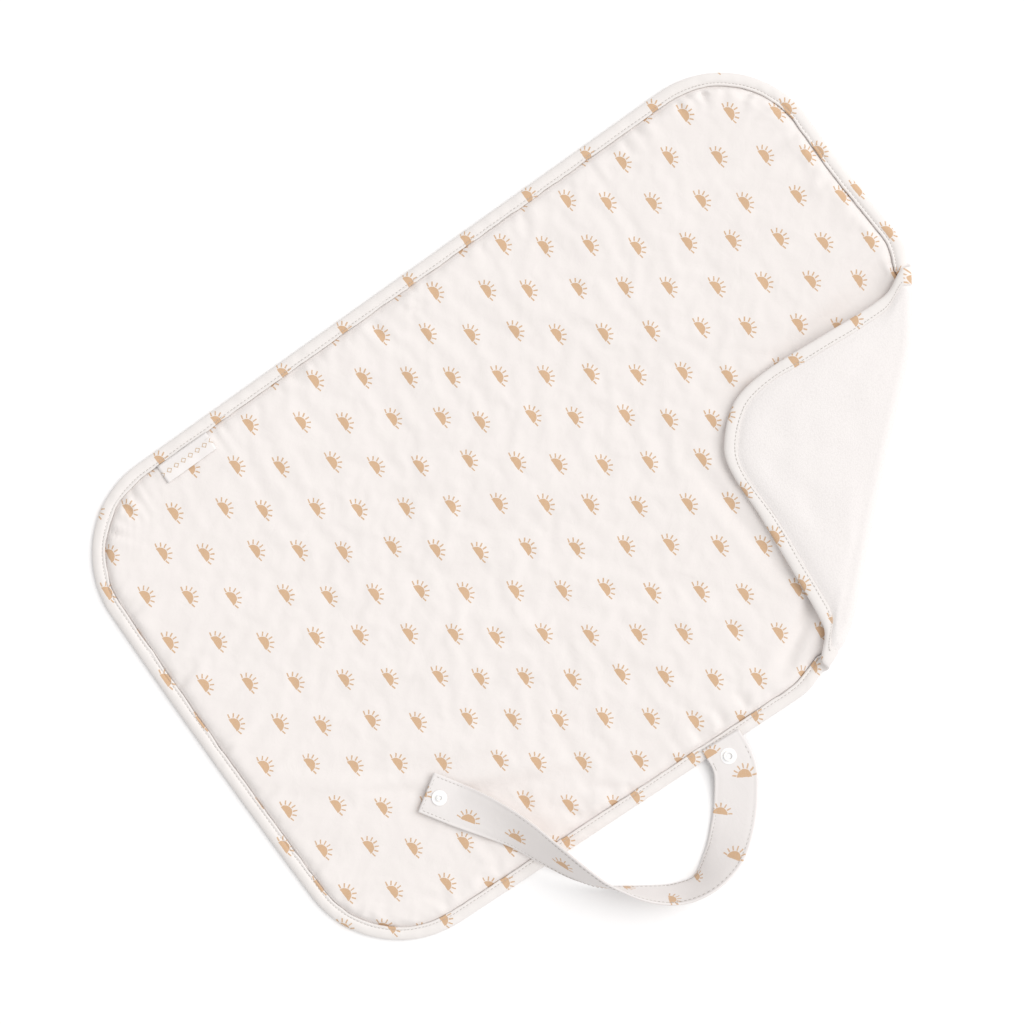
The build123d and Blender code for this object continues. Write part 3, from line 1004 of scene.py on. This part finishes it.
def buildLabel():
    low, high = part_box("woven_label")
    seam, hem = high.y, low.y
    reach = seam - hem
    bottom = labelTag["liesAt"]
    along, heights = (0, labelTag["liesFrom"], 1), (labelTag["seamAt"], bottom, bottom)
    # from the seam under the tag to the fold at its hem, then back over the top
    line = []
    for t in np.linspace(0, 1, 9):
        y = seam - reach * t * labelTag["hem"]
        line.append((y, np.interp(t, along, heights)))
    r = labelTag["fold"] / 2
    for angle in np.linspace(-90, 90, 7)[1:-1]:
        a = math.radians(angle)
        line.append((hem + r - r * math.cos(a) * 1.6, bottom + r + r * math.sin(a)))
    for t in np.linspace(1, 0, 9):
        y = seam - reach * t * labelTag["hem"]
        line.append((y, np.interp(t, along, heights) + labelTag["fold"]))
    line = np.array(line)
    across = np.linspace(low.x, high.x, 22)
    rows, columns = len(across), len(line)
    along = np.concatenate([[0], np.cumsum(np.linalg.norm(np.diff(line, axis=0), axis=1))])
    points = np.zeros((rows, columns, 3))
    points[..., 0] = across[:, None]
    points[..., 1:] = line[None]
    loose = smooth(seam - points[..., 1], 2 * mm, reach)
    right = smooth(points[..., 0], high.x - labelTag["curlWidth"], high.x)
    wave = labelTag["waviness"] * loose * np.sin(points[..., 0] * 480)
    points[..., 2] += labelTag["curl"] * loose * right + wave
    uv = np.stack([points[..., 0] - low.x, np.abs(along - along[-1] / 2)[None] + 0 * points[..., 0]], -1)
    piece = makeMesh("wovenLabel", points, gridFaces(rows, columns), uv)
    solid = piece.modifiers.new("Cloth thickness", "SOLIDIFY")
    solid.thickness = labelTag["cloth"]
    solid.offset = 0
    piece.data.materials.append(satinRibbon())
    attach(piece, "pad")
    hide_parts("woven_label")


buildLabel()
print("label made")


studio = {
    "lens": 85.0,
    "sensor": 36.0,
    "viewWidth": 717 * mm,
    "aim": (-30 * mm, 20 * mm, 6 * mm),
    "turn": -35.5,
    "keyFrom": (1.25, -0.30, 1.6),
    "keyStrength": 1.7,
    "keySpread": 48,  # degrees; a large soft box
    "sky": 0.70,
    "floor": "#FBFAFA",
    "floorHalf": 4.0,
    "floorDrop": 0.3 * mm,
}


def buildStudio():
    half, drop = studio["floorHalf"], studio["floorDrop"]
    corners = [(-half, -half, -drop), (half, -half, -drop), (half, half, -drop), (-half, half, -drop)]
    floor = makeMesh("floor", corners, [(0, 1, 2, 3)])
    material, tree = newMaterial("Painted studio floor")
    shader = addNode(tree, "BsdfPrincipled", {},
                     {"Base Color": linearColour(studio["floor"]), "Roughness": 0.9,
                      "Specular IOR Level": 0.1})
    finishMaterial(tree, shader)
    floor.data.materials.append(material)
    light = bpy.data.lights.new("key", "SUN")
    light.energy, light.angle = studio["keyStrength"], math.radians(studio["keySpread"])
    lamp = bpy.data.objects.new("key", light)
    lamp.location = studio["keyFrom"]
    lamp.rotation_euler = Vector(studio["keyFrom"]).to_track_quat("Z", "Y").to_euler()
    bpy.context.scene.collection.objects.link(lamp)
    world = bpy.data.worlds.new("Studio")
    world.use_nodes = True
    background = world.node_tree.nodes["Background"]
    background.inputs["Color"].default_value = (1.0, 0.995, 0.99, 1)
    background.inputs["Strength"].default_value = studio["sky"]
    bpy.context.scene.world = world
    bpy.context.scene.view_settings.view_transform = "Standard"
    camera = bpy.data.objects.new("camera", bpy.data.cameras.new("camera"))
    camera.data.lens, camera.data.sensor_width = studio["lens"], studio["sensor"]
    away = studio["viewWidth"] * studio["lens"] / studio["sensor"]
    camera.location = Vector(studio["aim"]) + Vector((0, 0, away))
    camera.rotation_euler = (0, 0, math.radians(studio["turn"]))
    bpy.context.scene.collection.objects.link(camera)
    bpy.context.scene.camera = camera


buildStudio()
print("studio made")
